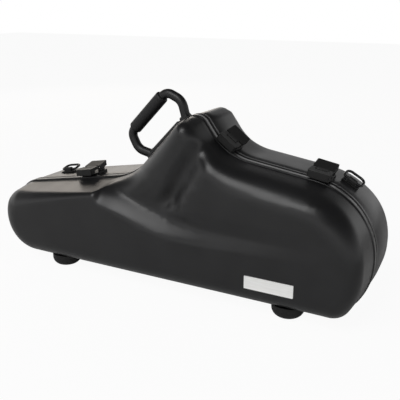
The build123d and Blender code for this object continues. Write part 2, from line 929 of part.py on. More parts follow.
lid_outer = lid_form()
base_outer = base_form()
lid_cavity = lid_form(wall)
base_cavity = base_form(wall)
slope_here = handle_frame()
latch_here = [rim_frame(share) for share in latch_shares]
ring_here = [rim_frame(share) for share in ring_shares]

lid_rim = rim_band(LID)
base_rim = rim_band(BASE)
lid_body = lid_outer + lid_rim
base_body = base_outer + base_rim
half_gap = parting_gap / 2

lid_shell = (lid_body - lid_cavity) - parting_slab(half_gap)
base_shell = (base_body - base_cavity) - parting_slab(half_gap)

seal_inset = seal_edge - rim_proud
rim_seal = ring_round_outline(seal_inset, seal_width, -half_gap + seat_gap, half_gap + seal_groove_depth)
base_shell = base_shell - ring_round_outline(
    seal_inset - running_gap, seal_width + 2 * running_gap, 0, half_gap + seal_groove_depth
)

lid_cuts = [joined(hinge_rivets(LID, running_gap))]
base_cuts = [joined(hinge_rivets(BASE, running_gap))]
for share in foot_shares:
    lid_cuts.append(foot_screw_at(share, LID, running_gap))
    base_cuts.append(foot_screw_at(share, BASE, running_gap))
for frame in latch_here:
    lid_cuts.append(frame * joined(latch_rivets_lid(running_gap)))
    base_cuts.append(frame * joined(latch_rivets_base(running_gap)))
for frame in ring_here:
    base_cuts.append(frame * joined(ring_rivets_one(running_gap)))
base_cuts.append(slope_here * joined(handle_screw_set(running_gap)))
for cut in lid_cuts:
    lid_shell = lid_shell - cut
for cut in base_cuts:
    base_shell = base_shell - cut

strap_x = left_x + strap_at_share * body_length
strap_z = [foot_drop + share * corner_height for share in (strap_low_share, strap_high_share)]
strap_front = tray_top_gap + seat_gap


def strap_solid(grow=0.0):
    """Webbing strap across the instrument's body hollow, or with grow the channel it lies in."""
    half = strap_width / 2 + grow
    front = 0 if grow else strap_front
    return block(
        strap_x - half, strap_x + half, front, strap_front + strap_thickness + grow,
        strap_z[0] - grow, strap_z[1] + grow,
    )


base_liner = base_form(wall + soft_gap) - parting_slab(tray_top_gap)
hollow_depth = base_depth - wall - tray_floor
sax_hollow = raise_form(outline_face(sax_hollow_shares), BASE, hollow_depth)
sax_hollow = sax_hollow.fillet(tray_round, edges_at_depth(sax_hollow, hollow_depth))
accessory_hollow = raise_form(outline_face(accessory_hollow_shares), BASE, accessory_depth)
base_liner = base_liner - sax_hollow - accessory_hollow - strap_solid(seat_gap)

lid_hollow = raise_form(
    outline_face(outline_shares, wall + soft_gap + lid_pad), LID, lid_hollow_depth, draft_angle
)
lid_hollow = lid_hollow.fillet(lid_hollow_round, edges_at_depth(lid_hollow, lid_hollow_depth))
lid_liner = lid_form(wall + soft_gap) - parting_slab(tray_top_gap) - lid_hollow

nodes = {
    "lid_shell": lid_shell,
    "base_shell": base_shell,
    "rim_seal": rim_seal,
    "base_liner": base_liner,
    "lid_liner": lid_liner,
    "instrument_strap": strap_solid(),
    "name_plate": name_plate(),
}

foot_names = ["left", "right"]
for share, end in zip(foot_shares, foot_names):
    nodes[f"lid_foot_{end}"] = foot_at(share, LID) - lid_body
    nodes[f"base_foot_{end}"] = foot_at(share, BASE) - base_body
nodes["lid_foot_screws"] = Compound([foot_screw_at(s, LID).solid() for s in foot_shares])
nodes["base_foot_screws"] = Compound([foot_screw_at(s, BASE).solid() for s in foot_shares])

for share, end in zip(hinge_shares, foot_names):
    nodes[f"hinge_{end}_lid_leaf"] = hinge_leaf_at(share, LID) - joined(hinge_rivets(LID, running_gap))
    nodes[f"hinge_{end}_base_leaf"] = hinge_leaf_at(share, BASE) - joined(hinge_rivets(BASE, running_gap))
    nodes[f"hinge_{end}_pin"] = hinge_pin_at(share)
nodes["hinge_rivets_lid"] = Compound([one.solid() for one in hinge_rivets(LID)])
nodes["hinge_rivets_base"] = Compound([one.solid() for one in hinge_rivets(BASE)])

handle_base = handle_base_blank() - joined(handle_screw_set(running_gap))
for end in (-1, 1):
    handle_base = handle_base - handle_pin(end, running_gap)
nodes["handle_base"] = slope_here * handle_base - base_body
nodes["handle_loop"] = slope_here * handle_loop()
nodes["handle_grip"] = slope_here * handle_sleeve()
nodes["handle_pin_lower"] = slope_here * handle_pin(-1)
nodes["handle_pin_upper"] = slope_here * handle_pin(1)
nodes["handle_screws"] = Compound([(slope_here * one).solid() for one in handle_screw_set()])

latch_names = ["left", "middle", "right"]
base_rivets = []
lid_rivets = []
for name, frame in zip(latch_names, latch_here):
    bracket = latch_bracket_blank() - joined(latch_rivets_base(running_gap))
    strike = latch_strike_blank() - joined(latch_rivets_lid(running_gap))
    nodes[f"latch_{name}_bracket"] = frame * bracket - base_body
    nodes[f"latch_{name}_strike"] = frame * strike - lid_body
    nodes[f"latch_{name}_lever"] = frame * latch_lever()
    nodes[f"latch_{name}_claw"] = frame * latch_claw()
    nodes[f"latch_{name}_lever_pin"] = frame * lever_pin()
    nodes[f"latch_{name}_claw_pin"] = frame * claw_pin()
    base_rivets += [(frame * one).solid() for one in latch_rivets_base()]
    lid_rivets += [(frame * one).solid() for one in latch_rivets_lid()]
nodes["latch_rivets_base"] = Compound(base_rivets)
nodes["latch_rivets_lid"] = Compound(lid_rivets)

ring_rivets = []
for name, frame in zip(foot_names, ring_here):
    bracket = ring_bracket_blank() - joined(ring_rivets_one(running_gap))
    nodes[f"ring_{name}_bracket"] = frame * bracket - base_body
    nodes[f"ring_{name}"] = frame * carrying_ring()
    ring_rivets += [(frame * one).solid() for one in ring_rivets_one()]
nodes["ring_rivets"] = Compound(ring_rivets)

for node_name, shape in nodes.items():
    placed = Pos(0, parting_y, 0) * shape
    export_step(placed, f"parts/{node_name}.step")


def shown(label, point):
    """Print one joint place in the frame of the case."""
    print(label, [round(value, 3) for value in (point.X, point.Y + parting_y, point.Z)])


shown("lid hinge", Vector(0, 0, hinge_axis_z))
shown("handle", slope_here.from_local_coords(Vector(0, handle_from_parting, handle_axis_height)))
print("slope direction", slope_here.x_dir)
for name, frame in zip(latch_names, latch_here):
    shown(f"latch {name} lever", frame.from_local_coords(Vector(0, *pivot_place)))
    shown(f"latch {name} claw", frame.from_local_coords(Vector(0, *claw_pin_place)))
    print("direction", frame.x_dir)
for name, frame in zip(foot_names, ring_here):
    axis_height = ring_surface() + ring_axis_height
    shown(f"ring {name}", frame.from_local_coords(Vector(0, ring_from_parting, axis_height)))
    print("direction", frame.x_dir)
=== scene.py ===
import bmesh
import bpy
import json
import math
from collections import namedtuple
from mathutils import Matrix, Vector, kdtree


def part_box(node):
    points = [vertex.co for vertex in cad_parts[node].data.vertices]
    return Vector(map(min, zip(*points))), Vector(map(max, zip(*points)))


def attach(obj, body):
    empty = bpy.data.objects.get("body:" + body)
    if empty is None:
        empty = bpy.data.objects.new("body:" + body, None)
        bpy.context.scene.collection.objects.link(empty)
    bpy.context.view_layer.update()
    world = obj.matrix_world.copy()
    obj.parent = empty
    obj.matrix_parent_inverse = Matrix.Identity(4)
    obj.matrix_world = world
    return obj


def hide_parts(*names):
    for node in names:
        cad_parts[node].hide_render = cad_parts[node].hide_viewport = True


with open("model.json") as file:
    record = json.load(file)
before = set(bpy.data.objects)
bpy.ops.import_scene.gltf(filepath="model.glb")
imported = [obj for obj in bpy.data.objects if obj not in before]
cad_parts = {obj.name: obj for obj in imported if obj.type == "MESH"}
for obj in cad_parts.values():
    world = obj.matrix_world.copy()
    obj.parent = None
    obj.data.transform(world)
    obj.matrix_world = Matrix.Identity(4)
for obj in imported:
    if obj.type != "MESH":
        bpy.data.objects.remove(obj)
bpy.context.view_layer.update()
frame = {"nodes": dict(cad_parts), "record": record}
nodes = frame["nodes"]
MM = 0.001
# Place of the parting line across the case, and the side of it that each shell is on
PARTING = -12.4
LID, BASE = -1, 1

# Materials. Colours are sRGB hex and pattern sizes are millimetres


def linear(hex_colour):
    """sRGB hex to linear RGBA."""
    channels = [int(hex_colour[i:i + 2], 16) / 255 for i in (1, 3, 5)]
    return tuple(c / 12.92 if c <= 0.04045 else ((c + 0.055) / 1.055) ** 2.4 for c in channels) + (1.0,)


def per_metre(size_mm):
    """Scale of a noise texture whose spots have this size."""
    return 1000 / size_mm


def add_node(tree, kind, settings=None, inputs=None):
    """One node with its settings, and its inputs as values or as sockets to link from."""
    node = tree.nodes.new(kind)
    for key, value in (settings or {}).items():
        setattr(node, key, value)
    for key, value in (inputs or {}).items():
        if isinstance(value, bpy.types.NodeSocket):
            tree.links.new(value, node.inputs[key])
        else:
            node.inputs[key].default_value = value
    return node


def new_material(name, constants):
    """Empty material with one shader, the shader's constants set on its own sockets."""
    material = bpy.data.materials.new(name)
    material.use_nodes = True
    tree = material.node_tree
    tree.nodes.clear()
    shader = add_node(tree, "ShaderNodeBsdfPrincipled", {}, constants)
    add_node(tree, "ShaderNodeOutputMaterial", {}, {0: shader.outputs[0]})
    place = add_node(tree, "ShaderNodeTexCoord").outputs["Object"]
    return material, tree, shader, place


def grained_finish(name, dark, light, gloss, grain_mm, grain_deep_mm, constants):
    """Skin with a grain from the tool or the spray, and colour and gloss that drift over 60 mm."""
    material, tree, shader, place = new_material(name, constants)
    drift = add_node(tree, "ShaderNodeTexNoise", {}, {
        "Vector": place, "Scale": per_metre(60.0), "Detail": 3.0}).outputs[0]
    share = add_node(tree, "ShaderNodeMapRange", {}, {
        "Value": drift, "From Min": 0.35, "From Max": 0.65}).outputs[0]
    colour = add_node(tree, "ShaderNodeMix", {"data_type": "RGBA"}, {
        0: share, 6: linear(dark), 7: linear(light)}).outputs[2]
    roughness = add_node(tree, "ShaderNodeMapRange", {}, {
        "Value": share, "To Min": gloss - 0.03, "To Max": gloss + 0.03}).outputs[0]
    grain = add_node(tree, "ShaderNodeTexNoise", {}, {
        "Vector": place, "Scale": per_metre(grain_mm), "Detail": 2.0, "Roughness": 0.6}).outputs[0]
    relief = add_node(tree, "ShaderNodeBump", {}, {
        "Height": grain, "Strength": 0.3, "Distance": grain_deep_mm * MM}).outputs[0]
    tree.links.new(colour, shader.inputs["Base Color"])
    tree.links.new(roughness, shader.inputs["Roughness"])
    tree.links.new(relief, shader.inputs["Normal"])
    return material


def brushed_plate(name):
    """Brushed along its length: streaks 0.9 mm wide and over thirty times as long."""
    material, tree, shader, place = new_material(name, {"Metallic": 0.25})
    drawn_out = add_node(tree, "ShaderNodeMapping", {}, {
        "Vector": place, "Scale": (0.03, 1.0, 1.0)}).outputs[0]
    streaks = add_node(tree, "ShaderNodeTexNoise", {}, {
        "Vector": drawn_out, "Scale": per_metre(0.9), "Detail": 3.0, "Roughness": 0.6}).outputs[0]
    share = add_node(tree, "ShaderNodeMapRange", {}, {
        "Value": streaks, "From Min": 0.3, "From Max": 0.7}).outputs[0]
    colour = add_node(tree, "ShaderNodeMix", {"data_type": "RGBA"}, {
        0: share, 6: linear("#f0f0ee"), 7: linear("#fafaf8")}).outputs[2]
    roughness = add_node(tree, "ShaderNodeMapRange", {}, {
        "Value": share, "To Min": 0.42, "To Max": 0.55}).outputs[0]
    relief = add_node(tree, "ShaderNodeBump", {}, {
        "Height": streaks, "Strength": 0.1, "Distance": 0.02 * MM}).outputs[0]
    tree.links.new(colour, shader.inputs["Base Color"])
    tree.links.new(roughness, shader.inputs["Roughness"])
    tree.links.new(relief, shader.inputs["Normal"])
    return material


def plush_on_foam(name):
    """Short pile, drawn 2.2 mm coarse so that it shows, its colour darker in the pile's hollows as painted
    shade, and nap brushed light and dark over 35 mm.
    """
    material, tree, shader, place = new_material(name, {
        "Roughness": 0.95, "Sheen Weight": 0.35, "Sheen Roughness": 0.5, "Specular IOR Level": 0.15})
    pile = add_node(tree, "ShaderNodeTexNoise", {}, {
        "Vector": place, "Scale": per_metre(2.2), "Detail": 4.0, "Roughness": 0.7}).outputs[0]
    nap = add_node(tree, "ShaderNodeTexNoise", {}, {
        "Vector": place, "Scale": per_metre(35.0), "Detail": 2.0}).outputs[0]
    # The colour follows the pile's relief, the same value as the bump: painted shade in the pile's hollows,
    # lighter on its tips; the nap adds lighter and darker patches over 35 mm
    pile_shade_and_nap = add_node(tree, "ShaderNodeMath", {"operation": "ADD"}, {0: pile, 1: nap}).outputs[0]
    share = add_node(tree, "ShaderNodeMapRange", {}, {
        "Value": pile_shade_and_nap, "From Min": 0.75, "From Max": 1.25}).outputs[0]
    colour = add_node(tree, "ShaderNodeMix", {"data_type": "RGBA"}, {
        0: share, 6: linear("#1d1e21"), 7: linear("#303136")}).outputs[2]
    relief = add_node(tree, "ShaderNodeBump", {}, {
        "Height": pile, "Strength": 0.6, "Distance": 0.6 * MM}).outputs[0]
    tree.links.new(colour, shader.inputs["Base Color"])
    tree.links.new(relief, shader.inputs["Normal"])
    return material


def woven_webbing(name):
    """Woven band. A wave repeats every 314 / scale millimetres: ribs 9.4 mm and threads 12.6 mm apart.

    The real weave has ribs about 1.5 mm apart; it is drawn coarser here so that it shows.
    """
    material, tree, shader, place = new_material(name, {"Roughness": 0.85})
    ribs = add_node(tree, "ShaderNodeTexWave", {"bands_direction": "Z"}, {
        "Vector": place, "Scale": per_metre(30.0), "Distortion": 0.4}).outputs[0]
    threads = add_node(tree, "ShaderNodeTexWave", {"bands_direction": "X"}, {
        "Vector": place, "Scale": per_metre(40.0), "Distortion": 0.4}).outputs[0]
    cloth = add_node(tree, "ShaderNodeMath", {"operation": "MULTIPLY"}, {0: ribs, 1: threads}).outputs[0]
    # The colour follows the weave's relief, the same value as the bump: painted shade in the hollows between
    # ribs and threads, painted light on their crossings
    colour = add_node(tree, "ShaderNodeMix", {"data_type": "RGBA"}, {
        0: cloth, 6: linear("#141415"), 7: linear("#2e2e30")}).outputs[2]
    relief = add_node(tree, "ShaderNodeBump", {}, {
        "Height": cloth, "Strength": 0.7, "Distance": 0.4 * MM}).outputs[0]
    tree.links.new(colour, shader.inputs["Base Color"])
    tree.links.new(relief, shader.inputs["Normal"])
    return material


# Thermoformed ABS: satin black, soft broad highlights
abs_sheet = grained_finish("thermoformed_ABS_satin_black", "#151516", "#1a1a1b", 0.34, 1.6, 0.05, {
    "IOR": 1.5, "Specular IOR Level": 0.42})
# Moulded nylon: duller than the shell, so the latches read as the darkest part
latch_nylon = grained_finish("moulded_nylon_latch_black", "#0c0c0c", "#121212", 0.52, 1.2, 0.06, {
    "IOR": 1.5, "Specular IOR Level": 0.4})
# Moulded nylon of the handle: even, and a little smoother than the latches
handle_nylon = grained_finish("moulded_nylon_handle_black", "#0e0e0f", "#131314", 0.42, 2.0, 0.06, {
    "IOR": 1.5, "Specular IOR Level": 0.42})
# Overmoulded soft grip: coarse eroded grain, 2.4 mm here so that it shows
grip_skin = grained_finish("overmoulded_elastomer_grip", "#0d0d0e", "#141415", 0.52, 2.4, 0.35, {
    "IOR": 1.5, "Specular IOR Level": 0.38})
# Moulded rubber of the feet: dull and slightly dusty
foot_rubber = grained_finish("moulded_rubber_foot", "#0b0b0b", "#121212", 0.62, 1.4, 0.08, {
    "IOR": 1.52, "Specular IOR Level": 0.35})
# Extruded rubber of the seal: nearly no reflection, so the gap reads as a black line
seal_rubber = grained_finish("extruded_rubber_seal", "#050505", "#080808", 0.75, 1.2, 0.05, {
    "IOR": 1.52, "Specular IOR Level": 0.2})
# Blackened steel: dark metal with a cold edge highlight
black_steel = grained_finish("blackened_steel_rivet", "#17171a", "#242428", 0.42, 3.0, 0.01, {
    "Metallic": 0.6})
# Lacquered steel of the hinges: smooth black paint over pressed sheet
hinge_steel = grained_finish("lacquered_steel_hinge", "#0e0e0f", "#141415", 0.36, 3.0, 0.02, {"IOR": 1.5})
# Turned steel pins: bright, with fine turning marks
turned_steel = grained_finish("turned_steel_pin", "#85858a", "#9a9a9e", 0.3, 0.8, 0.01, {"Metallic": 1.0})
# Lacquered wire of the carrying rings: a small sharp highlight along the wire
ring_steel = grained_finish("lacquered_wire_ring", "#0c0c0d", "#111112", 0.32, 3.0, 0.01, {"IOR": 1.5})
# Brushed aluminium under clear lacquer: near white, the only bright piece on the case
plate_aluminium = brushed_plate("brushed_aluminium_plate")
# Plush over foam: no highlight, a soft sheen where the surface turns away
liner_plush = plush_on_foam("short_pile_plush_on_foam")
# Woven polypropylene: small steps of light and dark, painted shade in the weave's hollows and painted light
# on its crossings
strap_webbing = woven_webbing("woven_polypropylene_webbing")

# Outline of the shells, in millimetres: x, z, corner radius

OUTLINE = [
    (-326.25, 15.0, 72.0), (-326.25, 127.7, 47.0), (-70.86, 172.7, 110.0), (44.44, 293.6, 22.0),
    (94.23, 224.9, 90.0), (326.25, 190.1, 110.0), (326.25, 62.0, 110.0), (299.17, 15.0, 35.0),
]
# Length between two places on the outline
STEP = 3.2
LEAST_ARC_PIECES = 4


def turned(vector, angle):
    """Flat vector turned by an angle."""
    return Vector((vector.x * math.cos(angle) - vector.y * math.sin(angle),
                   vector.x * math.sin(angle) + vector.y * math.cos(angle)))


def outline_spots():
    """Points and inward normals round the outline, clockwise from the left, straights and arcs."""
    count = len(OUTLINE)
    arcs = []
    for i in range(count):
        x, z, radius = OUTLINE[i]
        corner = Vector((x, z))
        before = (corner - Vector(OUTLINE[i - 1][:2])).normalized()
        after = (Vector(OUTLINE[(i + 1) % count][:2]) - corner).normalized()
        cross = before.x * after.y - before.y * after.x
        turn = math.atan2(cross, before.dot(after))
        reach = radius * math.tan(abs(turn) / 2)
        start = corner - before * reach
        centre = start + Vector((-before.y, before.x)) * radius * (1 if turn > 0 else -1)
        arcs.append((start, corner + after * reach, centre, turn, radius, before, after))
    found = []
    for i in range(count):
        start, end, centre, turn, radius, before, after = arcs[i]
        pieces = max(LEAST_ARC_PIECES, round(abs(turn) * radius / STEP))
        for k in range(pieces):
            angle = turn * k / pieces
            along = turned(before, angle)
            found.append((centre + turned(start - centre, angle), Vector((along.y, -along.x))))
        run = arcs[(i + 1) % count][0] - end
        pieces = max(1, round(run.length / STEP))
        for k in range(pieces):
            found.append((end + run * (k / pieces), Vector((after.y, -after.x))))
    return found


# Where the surface between two opposite walls is stitched together: outline point, spine point
SPINE_KEYS = [
    ((-231, 15), (-231, 85)), ((-156, 15), (-156, 90)), ((-101, 15), (-101, 92)), ((-38, 15), (-38, 90)),
    ((19, 15), (19, 84)), ((71, 15), (71, 82)), ((126, 15), (126, 84)), ((209, 15), (209, 98)),
    ((209, 208), (209, 98)), ((160, 215), (110, 82)), ((130, 220), (50, 82)), ((114, 223), (19, 104)),
    ((106, 225), (19, 128)), ((100, 227), (20, 152)), ((92, 232), (30, 178)), ((84, 241), (42, 205)),
    ((77, 251), (47, 228)), ((62, 272), (46, 250)), ((40, 287), (46, 250)), ((24, 272), (46, 250)),
    ((3, 250), (47, 228)), ((-17, 229), (42, 205)), ((-38, 207), (30, 178)), ((-56, 190), (20, 152)),
    ((-66, 184), (19, 128)), ((-76, 177), (18, 104)), ((-94, 170), (-12, 86)), ((-118, 165), (-70, 90)),
    ((-168, 156), (-140, 90)), ((-231, 144), (-231, 85)),
]


def smooth(low, high, value):
    """Share that eases from 0 at low to 1 at high."""
    part = min(max((value - low) / (high - low), 0.0), 1.0)
    return part * part * (3 - 2 * part)


# Shifts over which a line through points is averaged, and their reach as a share of its length
CORNER_SHIFTS = (-1.0, -0.5, 0.0, 0.5, 1.0)
CORNER_SHARE = 0.12


def between(points, value):
    """Height at a value on a line through (place, height) points, with eased corners."""
    spread_by = CORNER_SHARE * (points[-1][0] - points[0][0])
    total = 0.0
    for shift in CORNER_SHIFTS:
        at = min(max(value + shift * spread_by, points[0][0]), points[-1][0])
        for (x0, y0), (x1, y1) in zip(points, points[1:]):
            if at <= x1:
                total += y0 + (y1 - y0) * (at - x0) / (x1 - x0)
                break
    return total / len(CORNER_SHIFTS)


# Relief of the lid: the crease above the sweep by x and z, and the depth of the form above it there
CREASE_LEFT = -103.0
CREASE = [(-103, 166), (-80, 157), (-64, 150), (-38, 141), (-18, 133.5), (19, 126), (48, 121.5), (71, 119.5),
          (126, 119.5), (180, 120.5), (243, 121)]
CREASE_DEPTH = [(-103, 50), (-38, 51), (19, 56), (48, 60), (71, 62.5), (126, 66.5), (180, 69.5), (225, 73),
                (243, 74)]
# The crease climbs out of the lid beyond its left end, by this height over this length
CREASE_CLIMB, CREASE_CLIMB_RUN = 60, 22
CREASE_FLANK = 26
# A point on the slope that carries the handle, and the slope's direction
SLOPE_X, SLOPE_Z = -51.85, 192.6
SLOPE_RUN, SLOPE_RISE = 0.690, 0.7236
# Ridge of the bell roll and floor of the valley: distance along the slope and inwards from it
RIDGE_IN = [(24, 60.8), (60, 47.5), (118, 41.8)]
VALLEY_IN = [(18, 77), (46, 71), (87, 62), (126, 53)]
RIDGE_LEAD = 4
VALLEY_FLANK = 34
# Depths of roll, valley and plateau, and where along the slope or along x they change
ROLL_DEPTH, ROLL_GAIN, ROLL_ZONE = 52, 11, (-25, 60)
VALLEY_DROP, VALLEY_ZONE = 13, (-15, 35)
PLATEAU_DEPTH, PLATEAU_GAIN, PLATEAU_ZONE = 68, 6, (80, 235)
# Flat lower front, and the sweep's shoulder between it and the crease
LOWER_DEPTH = 74.0
LEAST_DROP = 0.3
SHOULDER_WIDTH = 20.0
SHOULDER_GROWTH, SHOULDER_GROWTH_ZONE = 8, (4, 20)
SHOULDER_EASE = 1.3
# Distance from the wall at which no edge radius counts
FAR = 1000.0


def slope_place(x, z):
    """Distance along the handle slope and inwards from it."""
    fx, fz = x - SLOPE_X, z - SLOPE_Z
    return SLOPE_RUN * fx + SLOPE_RISE * fz, SLOPE_RISE * fx - SLOPE_RUN * fz


def upper_depth(x, z, above):
    """Depth of the hump and the plateau, at a height above the crease."""
    along, inward = slope_place(x, z)
    ridge = between(RIDGE_IN, along)
    valley = between(VALLEY_IN, along)
    roll = ROLL_DEPTH + ROLL_GAIN * smooth(*ROLL_ZONE, along)
    floor = roll - VALLEY_DROP * smooth(*VALLEY_ZONE, along)
    plateau = PLATEAU_DEPTH + PLATEAU_GAIN * smooth(*PLATEAU_ZONE, x)
    if inward < valley:
        upper = roll + (floor - roll) * smooth(ridge - RIDGE_LEAD, valley, inward)
    else:
        upper = floor + (plateau - floor) * smooth(valley, valley + VALLEY_FLANK, inward)
    foot = between(CREASE_DEPTH, x)
    return foot + (upper - foot) * smooth(0, CREASE_FLANK, above)


def rounding(radius, distance):
    """Depth that an edge radius takes away at one distance from the wall."""
    if distance >= radius:
        return 0.0
    return radius - math.sqrt(max(radius ** 2 - (radius - distance) ** 2, 0.0))


def lid_depth_at(x, z, distance=FAR, radius=1.0, own=1.0):
    """Depth of the lid's sculpted front, in millimetres from the parting line."""
    lower = LOWER_DEPTH - rounding(own, distance)
    if x < CREASE_LEFT - CREASE_CLIMB_RUN:
        return lower
    climb = CREASE_CLIMB * smooth(-CREASE_LEFT, -CREASE_LEFT + CREASE_CLIMB_RUN, -x)
    crease = between(CREASE, max(x, CREASE_LEFT)) + climb
    above = z - crease
    foot = upper_depth(x, max(z, crease), max(above, 0.0)) - rounding(radius, distance)
    if above >= 0:
        return foot
    drop = max(LOWER_DEPTH - foot, LEAST_DROP)
    width = SHOULDER_WIDTH + SHOULDER_GROWTH * smooth(*SHOULDER_GROWTH_ZONE, drop)
    part = min(-above / width, 1.0)
    return min(foot + drop * (1 - (1 - part) ** SHOULDER_EASE), lower)


# Edge radii of the lid's front: plain, what single zones add or take, and what whole walls have
PLAIN_RADIUS = 20
RIGHT_GAIN, SHARP_LOSS, PEAK_LOSS = 16, 12, 5
BOTTOM_RADIUS, LEFT_END_RADIUS, TOP_CORNER_GAIN = 27, 38, 30
SLOPE_UPPER_RADIUS, SLOPE_LOWER_RADIUS = 42, 10
# Draft of the lid's wall in degrees, what its top left has more and the hump's peak has less
LID_DRAFT, TOP_LEFT_DRAFT, PEAK_DRAFT = 5, 5, 1
# Zones where the edge changes, by x, by z and by distance along the handle slope
SLOPE_LOWEST_Z, SLOPE_LAST_X, SLOPE_ZONE_X, SLOPE_ZONE = 160, 60, (-115, -55), (62, 112)
TOP_LEFT_ZONE_X, TOP_LEFT_ZONE_Z, SHARP_ZONE_X = (-60, 0), (110, 140), (-250, -120)
PEAK_ZONE, PEAK_ZONE_X = (95, 118), (60, 84)
RIGHT_ZONE_X, RIGHT_ZONE_Z, LEFT_END_ZONE_X = (70, 140), (120, 160), (-280, -230)


def lid_edge_at(point, normal):
    """Edge radius of the upper form and of the lower one, and draft of the lid wall, at one place."""
    x, z = point
    along = slope_place(x, z)[0]
    on_slope = 0.0
    if z > SLOPE_LOWEST_Z and x < SLOPE_LAST_X:
        on_slope = smooth(*SLOPE_ZONE_X, x) * (1 - smooth(*SLOPE_ZONE, along))
    top_left = (1 - smooth(*TOP_LEFT_ZONE_X, x)) * smooth(*TOP_LEFT_ZONE_Z, z)
    at_peak = smooth(*PEAK_ZONE, along) * (1 - smooth(*PEAK_ZONE_X, x))
    sharp = top_left * smooth(*SHARP_ZONE_X, x)
    on_right = smooth(*RIGHT_ZONE_X, x) * smooth(*RIGHT_ZONE_Z, z)
    radius = PLAIN_RADIUS + RIGHT_GAIN * on_right - SHARP_LOSS * sharp - PEAK_LOSS * at_peak
    if normal.y > 0:
        radius += (BOTTOM_RADIUS - radius) * normal.y ** 2
    if normal.x > 0:
        radius += (LEFT_END_RADIUS - radius) * normal.x ** 2 * (1 - on_slope)
        top_corner = normal.x * max(-normal.y, 0.0) * (1 - on_slope) * (1 - smooth(*LEFT_END_ZONE_X, x))
        radius += TOP_CORNER_GAIN * top_corner
    own = radius + (SLOPE_LOWER_RADIUS - radius) * on_slope
    radius = radius + (SLOPE_UPPER_RADIUS - radius) * on_slope
    draft = LID_DRAFT + TOP_LEFT_DRAFT * top_left * (1 - on_slope) - PEAK_DRAFT * at_peak
    return radius, own, draft


def lid_wall_at(point, normal, deep):
    """How far the lid's wall lies inside the outline at one depth."""
    return deep * math.tan(math.radians(lid_edge_at(point, normal)[2]))


# Depth of the base, its edge radius, the draft of its wall in degrees and the wall's start inside the outline
BASE_DEPTH, BASE_RADIUS, BASE_DRAFT, BASE_INSET = 100.0, 18.0, 1.0, 0.4
# Groove behind the rim and swell of the round end: how deep, and between which depths from the parting line
GROOVE_DEEP, GROOVE_ZONE = 1.6, (13, 24)
SWELL_DEEP, SWELL_TURN, SWELL_ZONE = 3.2, (0.5, 0.95), (14, 45)


def base_depth_at(x, z, distance=FAR, radius=1.0, own=1.0):
    """Depth of the base's plain back, in millimetres from the parting line."""
    return BASE_DEPTH - rounding(radius, distance)


def base_edge_at(point, normal):
    """Edge radii and draft of the base, the same all round."""
    return BASE_RADIUS, BASE_RADIUS, BASE_DRAFT


def base_wall_at(point, normal, deep):
    """Wall of the base: a shallow groove behind the rim, then full again, most of all at the round end."""
    groove = GROOVE_DEEP * (1 - smooth(*GROOVE_ZONE, deep))
    swell = SWELL_DEEP * smooth(*SWELL_TURN, -normal.x) * smooth(*SWELL_ZONE, deep)
    return BASE_INSET + deep * math.tan(math.radians(BASE_DRAFT)) + groove - swell


Form = namedtuple("Form", "side depth_at edge_at wall_at")
lid_form = Form(LID, lid_depth_at, lid_edge_at, lid_wall_at)
base_form = Form(BASE, base_depth_at, base_edge_at, base_wall_at)


def spine_targets():
    """Spine point of each outline spot, by length between the stitched pairs."""
    lengths = [0.0]
    for (a, _), (b, _) in zip(spots, spots[1:]):
        lengths.append(lengths[-1] + (b - a).length)
    total = lengths[-1] + (spots[0][0] - spots[-1][0]).length
    keys = []
    for outer, inner in SPINE_KEYS:
        nearest = min(range(len(spots)), key=lambda i: (spots[i][0] - Vector(outer)).length)
        keys.append((lengths[nearest], Vector(inner)))
    # the outline runs clockwise and the keys the other way round, so they are put in order of length
    keys.sort(key=lambda key: key[0])
    found = []
    for length in lengths:
        after = next((k for k, key in enumerate(keys) if key[0] > length), None)
        if after is None or after == 0:
            low, high = keys[-1], keys[0]
            span = (high[0] - low[0]) % total
            part = ((length - low[0]) % total) / span if span else 0.0
        else:
            low, high = keys[after - 1], keys[after]
            part = (length - low[0]) / (high[0] - low[0])
        found.append(low[1].lerp(high[1], part))
    return found


def outline_finder():
    """Lookup of the nearest outline place."""
    tree = kdtree.KDTree(len(spots))
    for index, (point, _) in enumerate(spots):
        tree.insert((point.x, point.y, 0.0), index)
    tree.balance()
    return tree


spots = outline_spots()
targets = spine_targets()
finder = outline_finder()

# Depth where the rim band ends, and where the moulded wall beyond it begins
BAND_END, WALL_START = 10.2, 10.4
# Before a place's own depth is known, the wall is read at this depth, and the front this far inside it
WALL_READ, FRONT_READ = 60.0, 0.5
# Thickness of a shell, and of the lip that its inner skin starts behind
SHELL_THICK, LIP_THICK = 3.0, 0.3
LEAST_RADIUS = 3.0
# Edge radii take this share of the way to the spine at most, and are evened over this length
RADIUS_ROOM, EVEN_REACH, EVEN_PASSES = 0.8, 22.0, 3
# Rings of the front lie closer together near the spine and end just before it
RING_EASE, SPINE_SHARE = 1.3, 0.975
# Rings in a rounded edge and in the front: of the outer skin's edge, then of the inner skin
OUTER_ROUNDS, INNER_ROUNDS, INNER_RINGS = 12, 6, 8


def evened(values):
    """Values round the outline, each the mean of its neighbours within reach."""
    count = len(values)
    reach = round(EVEN_REACH / STEP)
    return [sum(values[(i + k) % count] for k in range(-reach, reach + 1)) / (2 * reach + 1)
            for i in range(count)]


